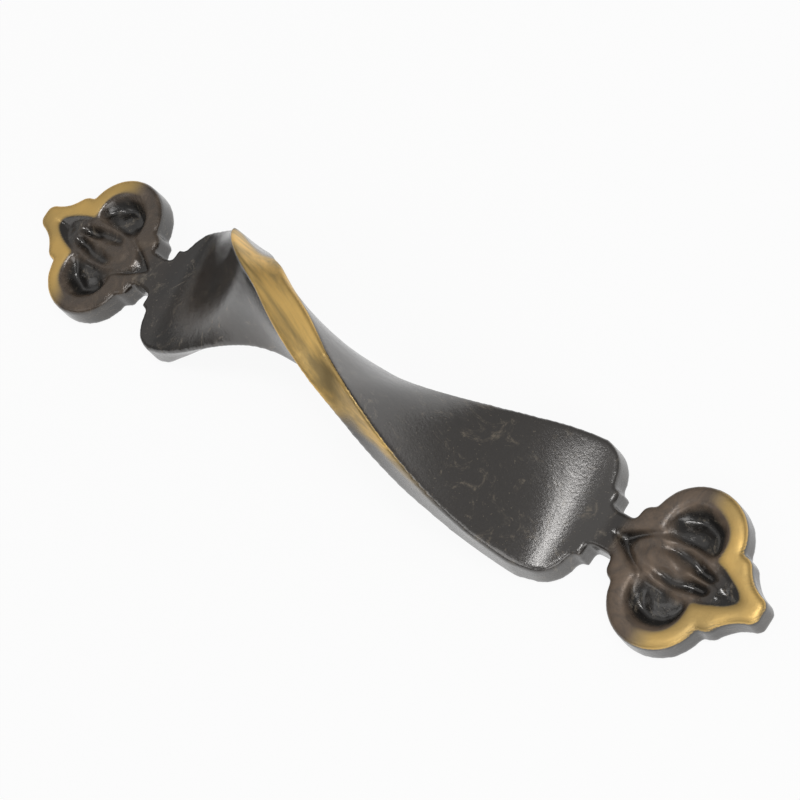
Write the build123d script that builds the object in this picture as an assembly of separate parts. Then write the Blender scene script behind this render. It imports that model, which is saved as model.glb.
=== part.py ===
from build123d import *
import math
import os

# Sizes in millimetres: X along the pull, Y across it, Z away from the drawer front
screw_spacing = 76.2
foot_reach = 8.3
neck_length = 4.3
finial_length = 24.7
plate_height = 4.85
wall_draft = 2.0
draft_margin = 2.4
edge_bevel = 0.4

# Strap: the crest edge climbs to the top of the grip, the low edge to its underside
crest_height = 33.1
grip_underside = 14.8
grip_thickness = 6.2
foot_half_width = 11.6
crest_overhang = 0.4
foot_flare = 0.5
contact_inset = 8.2
contact_sink = 0.8
trim_clearance = 6.0
station_count = 41

# Moves of the two edges: how far in from a foot's end, and how far from the middle
crest_rise_inset = 2.1
crest_rise_end = 13.4
crest_fall_start = 3.0
crest_fall_inset = 7.0
early_sweep_inset = 11.4
early_sweep_end = 2.3
late_sweep_start = 11.8
late_sweep_inset = 15.8
early_sweep_share = 0.53
low_rise_inset = 1.9
low_rise_end = 12.1
low_inward_inset = 4.6
low_inward_end = 8.5
low_outward_start = 7.9
low_outward_inset = 3.1

# Foot outline in plan
foot_corner_radius = 5.3
foot_corner_start = 75.0
foot_corner_end = 8.0
foot_corner_inset = 0.1
nub_half_width = 5.6
nub_length = 1.1
nub_notch = 0.5

# Neck and finial outline in plan, measured along X from the end of the neck
neck_half_width = 3.2
neck_lap = 0.8
collar_slant = 0.5
collar_half_width = 6.1
lobe_reach = 9.6
lobe_y = 5.3
lobe_radius = 7.7
lobe_notch = 0.9
shoulder_step = 1.65
shoulder_y = 6.35
ogee_reach = 1.7
ogee_rise = 1.9
tip_half_width = 1.9
corner_cut = 0.7
rim_bevel = 0.5

# Sunk panel: a disc in each lobe and a lens from the neck to the tip, with soft walls
panel_depth = 2.1
panel_rim = 2.6
panel_start = 2.0
panel_end = 2.8
panel_half_width = 4.7
panel_wall = 2.8
panel_lip = 0.1
panel_lip_run = 0.5
panel_blend = 0.5

# Carved leaf on the panel floor: a bordered blade with a midrib and a bud near the neck
leaf_start = 1.2
leaf_end = 4.4
leaf_half_width = 3.5
leaf_body = 1.1
leaf_edge = 1.1
leaf_border = 0.4
midrib_height = 0.4
midrib_half_width = 0.8
bud_reach = 6.6
bud_height = 0.5
bud_length = 2.4
bud_half_width = 1.7
grid_steps = 36
grid_tolerance = 0.02

# Screw bosses and blind holes, bored to the tap drill
tap_drill_diameter = 3.45
hole_depth = 5.0
boss_diameter = 9.0
boss_height = 4.0

# Places along X worked out from the sizes above
foot_end = screw_spacing / 2 + foot_reach
contact_start = foot_end - contact_inset
neck_end = foot_end + neck_length
lobe_x = neck_end + lobe_reach
notch_dx = math.sqrt(lobe_radius ** 2 - lobe_notch ** 2)
shoulder_x = lobe_x + notch_dx + shoulder_step
tip_x = neck_end + finial_length
crest_rise = (crest_rise_inset - foot_end, -crest_rise_end)
crest_fall = (crest_fall_start, foot_end - crest_fall_inset)
early_sweep = (early_sweep_inset - foot_end, early_sweep_end)
late_sweep = (-late_sweep_start, foot_end - late_sweep_inset)
low_rise = (low_rise_inset - foot_end, -low_rise_end)
low_inward = (low_inward_inset - foot_end, -low_inward_end)
low_outward = (low_outward_start, foot_end - low_outward_inset)

# Smooth step from 0 to 1 over a span
def ease(x, span):
    u = min(max((x - span[0]) / (span[1] - span[0]), 0.0), 1.0)
    return u * u * (3.0 - 2.0 * u)

# Edge over the left foot's far side, on top at the middle, under the right foot's near side
def crest_edge(x):
    side = foot_half_width + crest_overhang
    early = early_sweep_share * ease(x, early_sweep)
    late = (1 - early_sweep_share) * ease(x, late_sweep)
    rise = (crest_height - plate_height) * ease(x, crest_rise)
    fall = (crest_height + contact_sink) * ease(x, crest_fall)
    return side - (2 * side + foot_flare) * (early + late), plate_height + rise - fall

# Edge over the left foot's near side, at the grip's underside, under the right foot's far side
def low_edge(x):
    half_grip = grip_thickness / 2
    inward = (foot_half_width - half_grip) * ease(x, low_inward)
    outward = (foot_half_width + foot_flare + half_grip) * ease(x, low_outward)
    rise = (grip_underside - plate_height) * ease(x, low_rise)
    fall = grip_underside * (max(x, 0.0) / contact_start) ** 2
    return inward + outward - foot_half_width, max(plate_height + rise - fall, -contact_sink)

# One face runs between the two edges, the other is that face turned half round about Z
def strap_section(x):
    crest_y, crest_z = crest_edge(x)
    low_y, low_z = low_edge(x)
    turned_crest_y, turned_crest_z = crest_edge(-x)
    turned_low_y, turned_low_z = low_edge(-x)
    corners = [
        (x, crest_y, crest_z),
        (x, low_y, low_z),
        (x, -turned_low_y, turned_low_z),
        (x, -turned_crest_y, turned_crest_z),
    ]
    section = make_face(Polyline(*corners, close=True))
    return chamfer(section.vertices(), edge_bevel)

# Lower right quarter of the outline that trims the strap to its feet
def foot_quarter():
    nub_x = foot_end - nub_length
    centre_x = nub_x - nub_notch - foot_corner_radius
    centre_y = foot_half_width - foot_corner_inset - foot_corner_radius
    start = math.radians(foot_corner_start)
    end = math.radians(foot_corner_end)

    def on_corner(angle):
        x = centre_x + foot_corner_radius * math.cos(angle)
        y = centre_y + foot_corner_radius * math.sin(angle)
        return x, -y

    corner_start = on_corner(start)
    corner_end = on_corner(end)
    clear_y = -foot_half_width - trim_clearance
    clear_x = corner_start[0] + (clear_y - corner_start[1]) * math.tan(start)
    stub_x = foot_end + neck_lap
    outline = Polyline((0, clear_y), (clear_x, clear_y), corner_start)
    outline += ThreePointArc(corner_start, on_corner((start + end) / 2), corner_end)
    outline += Polyline(
        corner_end,
        (nub_x, -nub_half_width),
        (foot_end, -nub_half_width),
        (foot_end, -neck_half_width),
        (stub_x, -neck_half_width),
        (stub_x, 0),
    )
    return outline

# Lower half of the right finial, from the neck out to the tip
def finial_half():
    notch_y = lobe_y + lobe_notch
    notch_in = (lobe_x - notch_dx, -notch_y)
    notch_out = (lobe_x + notch_dx, -notch_y)
    end_x = tip_x - plate_height * math.tan(math.radians(wall_draft))
    outline = Polyline(
        (foot_end, 0),
        (foot_end, -neck_half_width),
        (neck_end, -neck_half_width),
        (neck_end + collar_slant, -collar_half_width),
        notch_in,
    )
    outline += ThreePointArc(notch_in, (lobe_x, -lobe_y - lobe_radius), notch_out)
    outline += Line(notch_out, (shoulder_x, -shoulder_y))
    outline += ThreePointArc(
        (shoulder_x, -shoulder_y),
        (shoulder_x + ogee_reach, -tip_half_width - ogee_rise),
        (end_x, -tip_half_width),
    )
    outline += Line((end_x, -tip_half_width), (end_x, 0))
    return outline

# How far a point lies inside a lens between two places on the X axis
def inside_lens(x, y, start, end, half_width):
    half = (end - start) / 2
    radius = (half ** 2 + half_width ** 2) / (2 * half_width)
    return radius - math.hypot(x - start - half, abs(y) + radius - half_width)

# How far a point lies inside the panel, blended where the lobes meet the lens
def inside_panel(x, y):
    lobe = lobe_radius - panel_rim - math.hypot(x - lobe_x, abs(y) - lobe_y)
    lens = inside_lens(x, y, neck_end - panel_start, tip_x - panel_end, panel_half_width)
    return max(lobe, lens) + panel_blend * math.exp(-abs(lobe - lens) / panel_blend) / 2

# Height of the carving above the panel floor
def leaf_height(x, y):
    blade = inside_lens(x, y, neck_end + leaf_start, tip_x - leaf_end, leaf_half_width)
    on_border = math.exp(-((blade / leaf_edge) ** 2))
    on_midrib = ease(blade, (0, leaf_half_width)) * math.exp(-((y / midrib_half_width) ** 2))
    bud_along = (x - neck_end - bud_reach) / bud_length
    on_bud = math.exp(-(bud_along ** 2) - (y / bud_half_width) ** 2)
    height = leaf_body * ease(blade, (-leaf_edge, leaf_edge)) + leaf_border * on_border
    return height + midrib_height * on_midrib + bud_height * on_bud

# Sunk surface: above the plate outside the panel, down its soft wall, then carved
def panel_height(x, y):
    inside = inside_panel(x, y)
    sunk = ease(inside, (-panel_lip_run, panel_wall))
    return plate_height + panel_lip - (panel_depth + panel_lip - leaf_height(x, y)) * sunk

# Strap with its feet
strap_end = foot_end + 2 * neck_lap
stations = [strap_end * (2 * i / (station_count - 1) - 1) for i in range(station_count)]
strap = loft([strap_section(x) for x in stations])
quarter = foot_quarter()
right_half = quarter + mirror(quarter, about=Plane.XZ)
draft_top = plate_height + draft_margin
plan = Pos(0, 0, draft_top) * make_face(right_half + mirror(right_half, about=Plane.YZ))
trim = extrude(plan, -draft_top, taper=-wall_draft) + extrude(plan, crest_height)
body = strap & trim

# Carved finial
half = finial_half()
finial_face = make_face(half + mirror(half, about=Plane.XZ))
corners = finial_face.vertices().sort_by(Axis.X)
finial_face = chamfer(corners[4:6] + corners[10:], corner_cut)
finial = extrude(Pos(0, 0, plate_height) * finial_face, -plate_height, taper=-wall_draft)
outer_rim = finial.edges().group_by(Axis.Z)[-1].sort_by(Axis.X)[1:]
finial = chamfer(outer_rim, rim_bevel)
grid_start = neck_end - panel_start - panel_lip_run
grid_end = tip_x - panel_end + panel_lip_run
grid_side = lobe_y + lobe_radius - panel_rim + panel_lip_run
shares = [i / grid_steps for i in range(grid_steps + 1)]
grid_x = [grid_start + (grid_end - grid_start) * share for share in shares]
grid_y = [grid_side * (2 * share - 1) for share in shares]
carved = Face.make_surface_from_array_of_points(
    [[Vector(x, y, panel_height(x, y)) for y in grid_y] for x in grid_x],
    tol=grid_tolerance,
)
finial -= Solid.extrude(carved, Vector(0, 0, plate_height))

# One casting with its screw bosses and holes
pull = body + finial + Rot(0, 0, 180) * finial
upward = (Align.CENTER, Align.CENTER, Align.MIN)
for side in (1, -1):
    hole_at = Pos(side * screw_spacing / 2, 0, 0)
    pull += hole_at * Cylinder(boss_diameter / 2, boss_height, align=upward)
    pull -= hole_at * Cylinder(tap_drill_diameter / 2, hole_depth, align=upward)

os.makedirs("parts", exist_ok=True)
export_step(pull, "parts/pull.step")
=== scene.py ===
import math
import bpy
import bmesh
from mathutils import Euler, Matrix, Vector, noise


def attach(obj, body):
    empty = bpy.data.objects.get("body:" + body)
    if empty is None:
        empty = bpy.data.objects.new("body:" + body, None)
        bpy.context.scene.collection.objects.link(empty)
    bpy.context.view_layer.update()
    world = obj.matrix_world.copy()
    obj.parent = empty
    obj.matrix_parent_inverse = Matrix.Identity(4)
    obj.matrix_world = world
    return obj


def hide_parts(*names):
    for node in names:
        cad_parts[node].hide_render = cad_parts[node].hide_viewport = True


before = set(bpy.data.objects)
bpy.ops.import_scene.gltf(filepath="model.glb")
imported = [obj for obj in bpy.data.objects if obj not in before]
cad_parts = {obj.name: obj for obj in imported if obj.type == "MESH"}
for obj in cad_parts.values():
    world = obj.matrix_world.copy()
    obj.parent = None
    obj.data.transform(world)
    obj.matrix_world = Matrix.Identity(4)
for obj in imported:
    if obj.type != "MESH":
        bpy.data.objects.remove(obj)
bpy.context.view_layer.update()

mm = 0.001


def smoothStep(value, low, high):
    share = min(max((value - low) / (high - low), 0.0), 1.0)
    return share * share * (3.0 - 2.0 * share)


# the casting: a merged copy of the solid, remeshed fine so that its edges can be softened
casting = {
    "mergeGap": 0.001 * mm,
    "voxel": 0.35 * mm,
    "softPasses": 4,
    "softFactor": 0.5,
    "strapReach": 32.0 * mm,
    "strapPasses": 3,
    "lastFactor": 0.3,
}


def softenedCasting():
    look = casting
    mesh = bpy.data.meshes.new("pullCasting")
    shape = bmesh.new()
    shape.from_mesh(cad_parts["pull"].data)
    bmesh.ops.remove_doubles(shape, verts=shape.verts, dist=look["mergeGap"])
    shape.to_mesh(mesh)
    shape.free()
    piece = bpy.data.objects.new("pullCasting", mesh)
    bpy.context.collection.objects.link(piece)
    remesh = piece.modifiers.new("fineSkin", "REMESH")
    remesh.mode = "VOXEL"
    remesh.voxel_size = look["voxel"]
    remesh.use_smooth_shade = True
    skinned = piece.evaluated_get(bpy.context.evaluated_depsgraph_get())
    fine = bpy.data.meshes.new_from_object(skinned)
    piece.modifiers.clear()
    piece.data = fine
    fine.name = "pullCasting"
    return piece


# fine carving on the leaf panels, in millimetres: points along the pull and across it, width and rise
carving = {
    "panelStart": 48.5,
    "panelEnd": 73.0,
    "panelSide": 10.6,
    "panelFacing": 0.1,
    "rimTop": 4.6,
    "rimDepth": 0.5,
    "roughCast": 0.3,
    "roughSpan": 2.1,
    "strokeCut": 3.0,
    "strokes": [
        # leaf border and the hollow inside it
        {
            "line": [(53.2, 0.9), (55.3, 2.3), (58.3, 3.3), (61.8, 3.4), (65.5, 2.4), (69.0, 0.8)],
            "width": 0.7,
            "rise": 0.4,
        },
        {"line": [(58.6, 2.0), (60.8, 2.2), (62.6, 1.9)], "width": 0.9, "rise": -0.55},
        # midrib, pits beside it and the bud
        {"line": [(62.2, 0.0), (69.6, 0.0)], "width": 0.65, "rise": 0.3},
        {"line": [(63.9, 1.3), (65.4, 1.1)], "width": 0.85, "rise": -0.95},
        {"line": [(56.6, 0.0), (58.4, 0.0)], "width": 1.35, "rise": 0.55},
        # side lobes: a sunken crescent and a raised tongue
        {
            "line": [(55.2, 5.2), (57.4, 7.5), (60.4, 8.1), (63.2, 7.0), (64.5, 5.0)],
            "width": 0.9,
            "rise": -0.5,
        },
        {"line": [(57.8, 4.7), (60.4, 5.5), (62.6, 4.7)], "width": 1.1, "rise": 0.55},
        # grooves at the neck and round the leaf's tip
        {"line": [(50.4, 0.2), (52.4, 1.7), (54.6, 3.6)], "width": 0.9, "rise": -0.8},
        {"line": [(69.4, 0.0), (71.6, 0.0)], "width": 1.3, "rise": -1.0},
        {"line": [(66.0, 2.7), (69.0, 1.5)], "width": 0.8, "rise": -0.6},
    ],
}


def gapToLine(u, v, line):
    nearest = math.inf
    for (startU, startV), (endU, endV) in zip(line, line[1:]):
        runU, runV = endU - startU, endV - startV
        share = ((u - startU) * runU + (v - startV) * runV) / (runU * runU + runV * runV)
        share = min(max(share, 0.0), 1.0)
        nearest = min(nearest, math.hypot(u - startU - share * runU, v - startV - share * runV))
    return nearest


def strokeRise(u, v):
    rise = 0.0
    for stroke in carving["strokes"]:
        gap = gapToLine(u, v, stroke["line"]) / stroke["width"]
        if gap < carving["strokeCut"]:
            rise += stroke["rise"] * math.exp(-gap * gap)
    return rise


def carvePanels(shape):
    look = carving
    for vert in shape.verts:
        u, v, height = abs(vert.co.x) / mm, abs(vert.co.y) / mm, vert.co.z / mm
        onPanel = look["panelStart"] < u < look["panelEnd"] and v <= look["panelSide"]
        if not onPanel or vert.normal.z < look["panelFacing"]:
            continue
        inside = smoothStep(look["rimTop"] - height, 0.0, look["rimDepth"])
        lump = look["roughCast"] * noise.noise(vert.co / (look["roughSpan"] * mm))
        vert.co.z += (strokeRise(u, v) + lump) * inside * mm


# the flat back stays on the drawer front
def keepBackFlat(shape):
    for vert in shape.verts:
        vert.co.z = max(vert.co.z, 0.0)


# small pulls on the strap's corners, in millimetres, each fading out with distance
nudgeCut = 2.5
nudges = [
    {"at": (-25.0, 12.0, 10.5), "reach": 6.5, "move": (0.2, -1.3, 0.2)},
    {"at": (-18.5, 10.0, 19.5), "reach": 4.5, "move": (0.1, -0.8, 0.1)},
    {"at": (-8.3, 6.3, 30.0), "reach": 4.0, "move": (0.1, 0.55, 0.0)},
    {"at": (8.0, -6.1, 31.0), "reach": 6.0, "move": (-0.1, -0.4, -0.2)},
    {"at": (15.0, -8.8, 24.1), "reach": 6.5, "move": (-0.2, -0.4, -0.2)},
    {"at": (21.0, -10.8, 17.0), "reach": 6.5, "move": (-0.2, -0.35, -0.2)},
]


def nudgeStrap(shape):
    for nudge in nudges:
        spot = Vector(nudge["at"]) * mm
        reach = nudge["reach"] * mm
        move = Vector(nudge["move"]) * mm
        for vert in shape.verts:
            gap = (vert.co - spot).length / reach
            if gap < nudgeCut:
                vert.co += move * math.exp(-gap * gap)


# wear, painted shade and painted sheen in millimetres and facing, each pair the start and end of a fade;
# kept as point attributes
wearAndShade = {
    "twistReach": 30.0,
    "twistTurn": math.radians(85),
    "crestFace": (-0.12, 0.3),
    "crestDrop": (1.5, 9.0),
    "ridgeStep": 1.0,
    "crestFade": (20.0, 33.0),
    "finialStart": (49.0, 52.0),
    "rimHeight": (3.6, 4.3),
    "rimFacing": (0.1, 0.45),
    "rimFade": (55.0, 67.0),
    "panelTop": 4.3,
    "panelFacing": 0.3,
    "spreadPasses": 14,
    "innerFade": (0.0, 0.32),
    "brownFacing": (0.2, 0.8),
    "leafTip": (64.0, 68.0),
    "leafHeight": (3.4, 4.3),
    # height and facing of the pockets' painted shade
    "pocketHeight": (2.9, 4.2),
    "pocketFacing": (0.0, 0.2),
    "edgeBulge": (0.10, 0.30),
    "farBrown": 0.55,
    # the +x half's lighter tone, part scuffed wear and part painted sheen
    "scuffSheenStart": (0.0, 30.0),
    "scuffSheenEnd": (46.0, 50.0),
}


# how close each point of a finial lies to its sunken panel, spread out from neighbour to neighbour
def panelShare(shape):
    look = wearAndShade
    shape.verts.ensure_lookup_table()
    share = [0.0] * len(shape.verts)
    finial = []
    for vert in shape.verts:
        u, v, height = abs(vert.co.x) / mm, abs(vert.co.y) / mm, vert.co.z / mm
        if u <= carving["panelStart"]:
            continue
        finial.append((vert.index, [edge.other_vert(vert).index for edge in vert.link_edges]))
        sunken = v < carving["panelSide"] and height < look["panelTop"]
        if sunken and vert.normal.z > look["panelFacing"]:
            share[vert.index] = 1.0
    for _ in range(look["spreadPasses"]):
        spread = [(index, sum(share[near] for near in around) / len(around)) for index, around in finial]
        for index, value in spread:
            share[index] = value
    return share


# highest point of the strap in each slice along the pull
def ridgeLine(shape):
    ridge = {}
    for vert in shape.verts:
        slot = round(vert.co.x / mm / wearAndShade["ridgeStep"])
        ridge[slot] = max(ridge.get(slot, 0.0), vert.co.z / mm)
    return ridge


# the ridge's height between two slices
def ridgeAt(ridge, x):
    place = x / wearAndShade["ridgeStep"]
    slot = math.floor(place)
    share = place - slot
    return ridge.get(slot, 0.0) * (1.0 - share) + ridge.get(slot + 1, 0.0) * share


# how far a point stands proud of its neighbours, as a share of their spacing
def bulge(vert):
    around = [edge.other_vert(vert).co for edge in vert.link_edges]
    middle = sum(around, Vector()) / len(around)
    return (vert.co - middle).dot(vert.normal) / casting["voxel"]


def wearAndShadeOf(vert, ridge, panel):
    look = wearAndShade
    x, height, up = vert.co.x / mm, vert.co.z / mm, vert.normal.z
    far = abs(x)

    # gold on the crest, following the strap's twist
    share = smoothStep(x, -look["twistReach"], look["twistReach"])
    turn = look["twistTurn"] * (1.0 - 2.0 * share)
    facing = up * math.cos(turn) + vert.normal.y * math.sin(turn)
    drop = ridgeAt(ridge, x) - height
    crest = smoothStep(facing, *look["crestFace"]) * (1.0 - smoothStep(far, *look["crestFade"]))
    crest *= 1.0 - smoothStep(drop, *look["crestDrop"])

    # gold on the finials' rims, brown nearer the neck, and the finials' pockets that get painted shade
    onFinial = smoothStep(far, *look["finialStart"])
    onRim = smoothStep(height, *look["rimHeight"]) * smoothStep(up, *look["rimFacing"])
    onRim *= 1.0 - smoothStep(panel, *look["innerFade"])
    rim = onRim * onFinial * smoothStep(far, *look["rimFade"])
    brown = onFinial * smoothStep(up, *look["brownFacing"]) * smoothStep(height, *look["leafHeight"])
    brown *= 1.0 - smoothStep(far, *look["leafTip"])
    brown *= 1.0 if x > 0.0 else look["farBrown"]
    # painted shade: sunken, upward-facing parts of the finials get a darker colour
    pocketShade = onFinial * (1.0 - smoothStep(height, *look["pocketHeight"]))
    pocketShade *= smoothStep(up, *look["pocketFacing"])

    edge = smoothStep(bulge(vert), *look["edgeBulge"])
    # part scuffed wear, part painted sheen: the strap's +x half and its foot get a lighter colour and a
    # rougher gloss
    scuffAndSheen = smoothStep(x, *look["scuffSheenStart"]) * (1.0 - smoothStep(x, *look["scuffSheenEnd"]))
    return crest, rim, brown, pocketShade, edge, scuffAndSheen


wearAndShadeNames = ("crest", "rim", "brown", "pocketShade", "edge", "scuffAndSheen")


def markWearAndShade(mesh, shape):
    ridge = ridgeLine(shape)
    panel = panelShare(shape)
    rows = [wearAndShadeOf(vert, ridge, panel[vert.index]) for vert in shape.verts]
    for name in wearAndShadeNames:
        mesh.attributes.new(name, "FLOAT", "POINT")
    for name, values in zip(wearAndShadeNames, zip(*rows)):
        mesh.attributes[name].data.foreach_set("value", values)


def soften(shape, verts, factor, passes):
    for _ in range(passes):
        bmesh.ops.smooth_vert(
            shape, verts=verts, factor=factor, use_axis_x=True, use_axis_y=True, use_axis_z=True
        )


def finishCasting():
    look = casting
    piece = softenedCasting()
    mesh = piece.data
    shape = bmesh.new()
    shape.from_mesh(mesh)
    soften(shape, shape.verts, look["softFactor"], look["softPasses"])
    strap = [vert for vert in shape.verts if abs(vert.co.x) < look["strapReach"]]
    soften(shape, strap, look["softFactor"], look["strapPasses"])
    nudgeStrap(shape)
    shape.normal_update()
    carvePanels(shape)
    soften(shape, shape.verts, look["lastFactor"], 1)
    keepBackFlat(shape)
    shape.normal_update()
    for face in shape.faces:
        face.smooth = True
    shape.to_mesh(mesh)
    markWearAndShade(mesh, shape)
    shape.free()
    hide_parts("pull")
    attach(piece, "root")
    return piece


pullCasting = finishCasting()
print("casting softened and carved", len(pullCasting.data.polygons), "faces")


def newMaterial(name):
    material = bpy.data.materials.new(name)
    material.use_nodes = True
    nodes = material.node_tree.nodes
    nodes.clear()
    output = nodes.new("ShaderNodeOutputMaterial")
    shader = nodes.new("ShaderNodeBsdfPrincipled")
    material.node_tree.links.new(shader.outputs["BSDF"], output.inputs["Surface"])
    return material, shader, output


# small helpers that add one node and wire it
def addNode(material, kind, **settings):
    node = material.node_tree.nodes.new(kind)
    for key, value in settings.items():
        setattr(node, key, value)
    return node


def wire(material, source, target):
    material.node_tree.links.new(source, target)


def mathNode(material, operation, first, second):
    node = addNode(material, "ShaderNodeMath", operation=operation)
    for slot, value in enumerate((first, second)):
        if isinstance(value, (int, float)):
            node.inputs[slot].default_value = value
        else:
            wire(material, value, node.inputs[slot])
    return node.outputs[0]


def rangeNode(material, source, fromLow, fromHigh, toLow=0.0, toHigh=1.0):
    node = addNode(material, "ShaderNodeMapRange", interpolation_type="SMOOTHSTEP")
    wire(material, source, node.inputs["Value"])
    node.inputs["From Min"].default_value = fromLow
    node.inputs["From Max"].default_value = fromHigh
    node.inputs["To Min"].default_value = toLow
    node.inputs["To Max"].default_value = toHigh
    return node.outputs["Result"]


def noiseNode(material, coords, scale, detail=4.0, rough=0.55, distortion=0.0):
    node = addNode(material, "ShaderNodeTexNoise")
    wire(material, coords, node.inputs["Vector"])
    node.inputs["Scale"].default_value = scale
    node.inputs["Detail"].default_value = detail
    node.inputs["Roughness"].default_value = rough
    node.inputs["Distortion"].default_value = distortion
    return node.outputs["Fac"]


# the Mix node's colours are its inputs 6 and 7 and its output 2
def mixColour(material, factor, first, second):
    node = addNode(material, "ShaderNodeMix", data_type="RGBA")
    wire(material, factor, node.inputs["Factor"])
    for slot, value in ((6, first), (7, second)):
        if isinstance(value, tuple):
            node.inputs[slot].default_value = (*value, 1.0)
        else:
            wire(material, value, node.inputs[slot])
    return node.outputs[2]


def attributeNode(material, name):
    node = addNode(material, "ShaderNodeAttribute", attribute_name=name)
    return node.outputs["Fac"]


# antique brass: colours and gloss, noises, then ranges as from low, from high, to low, to high
antiqueBrass = {
    "dark": (0.0115, 0.0098, 0.0086),
    "darkBrown": (0.026, 0.0185, 0.0135),
    # painted shade in the finials' pockets
    "pocketShade": (0.0085, 0.0075, 0.0068),
    "brown": (0.185, 0.132, 0.092),
    # lighter tone of the +x half, part scuffed wear and part painted sheen
    "scuffedSheen": (0.047, 0.043, 0.040),
    "smear": (0.2, 0.168, 0.127),
    "gold": (0.96, 0.645, 0.225),
    "goldShade": (0.40, 0.295, 0.14),
    "mirror": 1.85,
    "mirrorTint": (1.0, 0.98, 0.96),
    "gloss": 0.13,
    "glossSpread": (-0.03, 0.05),
    "goldGloss": 0.48,
    "scuffGloss": 0.22,
    "pocketDull": 0.07,
    "brownMetal": 0.5,
    "streakTurn": math.radians(-22),
    "streakStretch": (7.0, 1.0, 1.0),
    "streakNoise": {"scale": 210.0, "rough": 0.6, "distortion": 0.4},
    "patchNoise": {"scale": 75.0, "detail": 3.0},
    "grainNoise": {"scale": 2200.0, "rough": 0.65},
    "swirlNoise": {"scale": 170.0, "detail": 6.0, "rough": 0.7, "distortion": 2.5},
    "speckNoise": {"scale": 2300.0, "detail": 2.0, "rough": 0.5},
    "heldPatch": (0.3, 0.7, 0.16, -0.16),
    "goldSpan": (0.25, 0.85),
    "goldGate": (0.02, 0.2),
    "cloudPatch": (0.4, 0.65),
    "scuffSheenSpan": (0.35, 1.0),
    "smearSwirl": (0.53, 0.7),
    "smearGrain": (0.35, 0.65, 0.15, 0.85),
    "speckSpan": (0.66, 0.74, 0.0, 0.45),
    "brownSwirl": (0.3, 0.65, 0.4, 1.0),
    "edgePatch": (0.35, 0.6, 0.1, 0.7),
    "brushedStreak": (0.34, 0.62),
    "rolledPatch": (0.25, 0.6, 0.4, 0.95),
    "glossGrain": (0.3, 0.7),
    "bumpStrength": 0.2,
    "bumpDistance": 0.0002,
}


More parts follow.
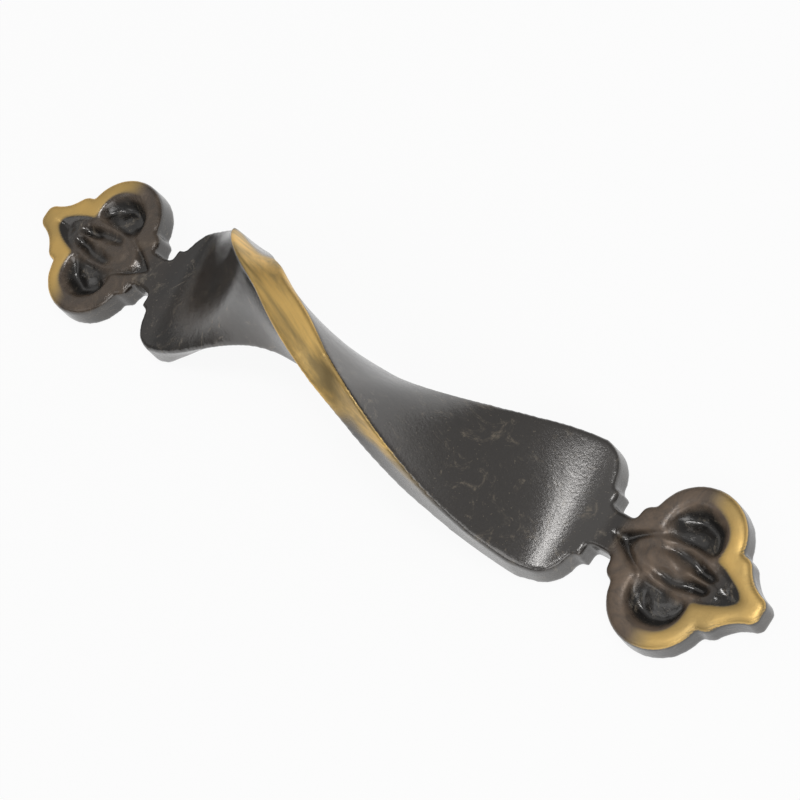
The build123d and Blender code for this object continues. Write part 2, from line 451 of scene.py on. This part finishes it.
def paintAntiqueBrass():
    look = antiqueBrass
    material, shader, _ = newMaterial("antiqueBrass")
    coords = addNode(material, "ShaderNodeTexCoord").outputs["Object"]
    stretched = addNode(material, "ShaderNodeMapping", vector_type="TEXTURE")
    stretched.inputs["Rotation"].default_value = (0.0, 0.0, look["streakTurn"])
    stretched.inputs["Scale"].default_value = look["streakStretch"]
    wire(material, coords, stretched.inputs["Vector"])
    streak = noiseNode(material, stretched.outputs[0], **look["streakNoise"])
    patch = noiseNode(material, coords, **look["patchNoise"])
    grain = noiseNode(material, coords, **look["grainNoise"])
    swirl = noiseNode(material, coords, **look["swirlNoise"])
    speck = noiseNode(material, coords, **look["speckNoise"])
    marks = {name: attributeNode(material, name) for name in wearAndShadeNames}

    # gold shows where the rubbing is strong, less where the patina held on
    rubbed = mathNode(material, "MAXIMUM", marks["crest"], marks["rim"])
    held = rangeNode(material, patch, *look["heldPatch"])
    gold = rangeNode(material, mathNode(material, "ADD", rubbed, held), *look["goldSpan"])
    gold = mathNode(material, "MULTIPLY", gold, rangeNode(material, rubbed, *look["goldGate"]))

    # dark patina: brown clouds, a lighter +x half that is part scuffs and part painted sheen, painted
    # shade in the pockets, and faint smears left by polish
    clouds = rangeNode(material, patch, *look["cloudPatch"])
    dark = mixColour(material, clouds, look["dark"], look["darkBrown"])
    # part scuffs, part painted sheen: the +x half made lighter
    scuffSheen = rangeNode(material, marks["scuffAndSheen"], *look["scuffSheenSpan"])
    dark = mixColour(material, scuffSheen, dark, look["scuffedSheen"])
    # painted shade: the pockets made darker
    dark = mixColour(material, marks["pocketShade"], dark, look["pocketShade"])
    smear = rangeNode(material, swirl, *look["smearSwirl"])
    smear = mathNode(material, "MULTIPLY", smear, rangeNode(material, grain, *look["smearGrain"]))
    specks = rangeNode(material, speck, *look["speckSpan"])
    dark = mixColour(material, mathNode(material, "MAXIMUM", smear, specks), dark, look["smear"])

    # brown on the finials and along worn edges
    mottle = rangeNode(material, swirl, *look["brownSwirl"])
    brown = mathNode(material, "MULTIPLY", marks["brown"], mottle)
    worn = rangeNode(material, patch, *look["edgePatch"])
    edge = mathNode(material, "MULTIPLY", marks["edge"], worn)
    brown = mathNode(material, "MAXIMUM", brown, edge)
    dark = mixColour(material, brown, dark, look["brown"])

    # gold: brushed on the crest, smoother on the rims
    brushed = rangeNode(material, streak, *look["brushedStreak"])
    brushed = mathNode(material, "MULTIPLY", brushed, marks["crest"])
    rolled = rangeNode(material, patch, *look["rolledPatch"])
    rolled = mathNode(material, "MULTIPLY", rolled, marks["rim"])
    tone = mathNode(material, "MAXIMUM", brushed, rolled)
    goldTone = mixColour(material, tone, look["goldShade"], look["gold"])
    wire(material, mixColour(material, gold, dark, goldTone), shader.inputs["Base Color"])
    brownMetal = mathNode(material, "MULTIPLY", brown, look["brownMetal"])
    wire(material, mathNode(material, "MAXIMUM", gold, brownMetal), shader.inputs["Metallic"])
    shader.inputs["IOR"].default_value = look["mirror"]
    shader.inputs["Specular Tint"].default_value = (*look["mirrorTint"], 1.0)

    # lacquer gloss, duller on gold, brown, scuffs and pockets
    glossLow, glossHigh = (look["gloss"] + spread for spread in look["glossSpread"])
    rough = rangeNode(material, grain, *look["glossGrain"], glossLow, glossHigh)
    duller = mathNode(material, "MAXIMUM", gold, brown)
    goldGap = mathNode(material, "MULTIPLY", duller, look["goldGloss"] - look["gloss"])
    scuffGap = mathNode(material, "MULTIPLY", marks["scuffAndSheen"], look["scuffGloss"] - look["gloss"])
    pocketGap = mathNode(material, "MULTIPLY", marks["pocketShade"], look["pocketDull"])
    dullest = mathNode(material, "MAXIMUM", mathNode(material, "MAXIMUM", goldGap, scuffGap), pocketGap)
    wire(material, mathNode(material, "ADD", rough, dullest), shader.inputs["Roughness"])
    bump = addNode(material, "ShaderNodeBump")
    bump.inputs["Strength"].default_value = look["bumpStrength"]
    bump.inputs["Distance"].default_value = look["bumpDistance"]
    wire(material, grain, bump.inputs["Height"])
    wire(material, bump.outputs["Normal"], shader.inputs["Normal"])
    return material


pullCasting.data.materials.clear()
pullCasting.data.materials.append(paintAntiqueBrass())
print("casting painted")


# pale floor under the pull, shown near white but with the pull's soft shadow
floorPlan = {
    "halfSize": 3.0,
    "drop": 0.2 * mm,
    "colour": (0.9, 0.9, 0.9),
    "rough": 0.9,
    "glow": 1.0,
    "glowShare": 0.92,
    "glowReach": (0.18, 0.55),
    "farShare": 0.1,
}


def layFloor():
    look = floorPlan
    mesh = bpy.data.meshes.new("floor")
    shape = bmesh.new()
    bmesh.ops.create_grid(shape, x_segments=2, y_segments=2, size=look["halfSize"])
    bmesh.ops.translate(shape, verts=shape.verts, vec=(0, 0, -look["drop"]))
    shape.to_mesh(mesh)
    shape.free()
    floor = bpy.data.objects.new("floor", mesh)
    bpy.context.collection.objects.link(floor)
    material, shader, output = newMaterial("palePaper")
    shader.inputs["Base Color"].default_value = (*look["colour"], 1.0)
    shader.inputs["Roughness"].default_value = look["rough"]
    paths = addNode(material, "ShaderNodeLightPath").outputs
    seen = mathNode(material, "MAXIMUM", paths["Is Camera Ray"], paths["Is Glossy Ray"])
    seen = mathNode(material, "MAXIMUM", seen, paths["Is Transmission Ray"])
    glow = addNode(material, "ShaderNodeEmission")
    glow.inputs["Strength"].default_value = look["glow"]
    blend = addNode(material, "ShaderNodeMixShader")
    spot = addNode(material, "ShaderNodeVectorMath", operation="LENGTH")
    wire(material, addNode(material, "ShaderNodeTexCoord").outputs["Object"], spot.inputs[0])
    away = spot.outputs["Value"]
    share = rangeNode(material, away, *look["glowReach"], look["glowShare"], look["farShare"])
    wire(material, mathNode(material, "MULTIPLY", seen, share), blend.inputs[0])
    wire(material, shader.outputs[0], blend.inputs[1])
    wire(material, glow.outputs[0], blend.inputs[2])
    wire(material, blend.outputs[0], output.inputs["Surface"])
    floor.data.materials.append(material)


layFloor()
print("floor laid")


# studio: a soft sky, boxes round the pull and strips for the bend of the near foot; all aim at the origin
studio = {
    "sky": 0.24,
    "lamps": [
        {"name": "overheadBox", "at": (-0.55, 0.15, 0.8), "size": (1.0, 1.3), "power": 1.0, "yaw": 0.0},
        {"name": "sideBox", "at": (0.75, -0.35, 0.5), "size": (0.6, 0.6), "power": 2.4, "yaw": 0.0},
        {"name": "frontBox", "at": (-0.2, -0.62, 0.68), "size": (0.5, 0.4), "power": 0.5, "yaw": 0.0},
        {"name": "overheadStrip", "at": (0.27, 0.08, 0.9), "size": (0.18, 0.36), "power": 2.3, "yaw": 0.0},
        {"name": "farStrip", "at": (0.40, 0.27, 0.88), "size": (0.24, 0.12), "power": 0.3, "yaw": -34.0},
    ],
}


def lightStudio():
    world = bpy.data.worlds.new("studioSky")
    bpy.context.scene.world = world
    world.use_nodes = True
    background = world.node_tree.nodes["Background"]
    background.inputs["Color"].default_value = (1.0, 1.0, 1.0, 1.0)
    background.inputs["Strength"].default_value = studio["sky"]
    for plan in studio["lamps"]:
        lamp = bpy.data.lights.new(plan["name"], "AREA")
        lamp.shape = "RECTANGLE"
        lamp.size, lamp.size_y = plan["size"]
        lamp.energy = plan["power"]
        holder = bpy.data.objects.new(plan["name"], lamp)
        bpy.context.collection.objects.link(holder)
        holder.location = plan["at"]
        aim = -Vector(plan["at"])
        yaw = Euler((0.0, 0.0, math.radians(plan["yaw"]))).to_quaternion()
        holder.rotation_euler = (yaw @ aim.to_track_quat("-Z", "Y")).to_euler()


lightStudio()
print("studio lit")


cameraPlan = {
    "at": (0.20057, -0.04402, 0.31815),
    "turn": (24.1363, 22.4669, 36.3415),
    "lens": 107.77,
    "sensor": 36.0,
    "near": 0.01,
}


def placeCamera():
    look = cameraPlan
    lens = bpy.data.cameras.new("photoCamera")
    lens.lens = look["lens"]
    lens.sensor_width = look["sensor"]
    lens.clip_start = look["near"]
    camera = bpy.data.objects.new("photoCamera", lens)
    bpy.context.collection.objects.link(camera)
    camera.location = look["at"]
    camera.rotation_euler = [math.radians(angle) for angle in look["turn"]]
    bpy.context.scene.camera = camera


placeCamera()
bpy.context.scene.view_settings.view_transform = "Standard"
print("camera placed")
